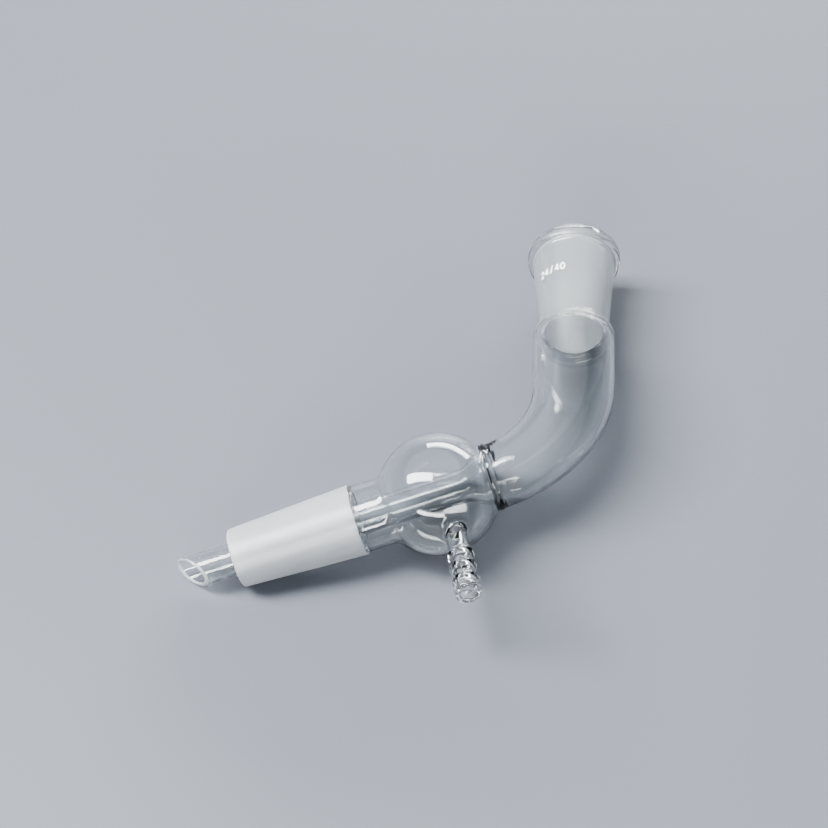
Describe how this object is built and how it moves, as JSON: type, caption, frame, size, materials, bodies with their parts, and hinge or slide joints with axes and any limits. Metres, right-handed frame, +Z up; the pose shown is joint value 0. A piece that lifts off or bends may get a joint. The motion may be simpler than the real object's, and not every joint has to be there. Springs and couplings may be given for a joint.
{
  "type": "vacuum take-off adapter",
  "caption": "Bent glass adapter with ground socket and cone, a blown bulb round a fused drip tube, and a ridged hose connection for vacuum.",
  "frame": {"origin": "middle of the outline on the bench, at bench height", "axes": "+Z up from the bench that the glass rests on; +Y along the socket's axis seen from above, towards its mouth; the ground cone points mostly towards -X"},
  "size_m": [0.148, 0.1526, 0.0411],
  "materials": {
    "glass": "clear borosilicate glass; the ground faces of socket and cone are frosted white"
  },
  "bodies": {
    "root": {"glass": "glass"}
  },
  "joints": []
}
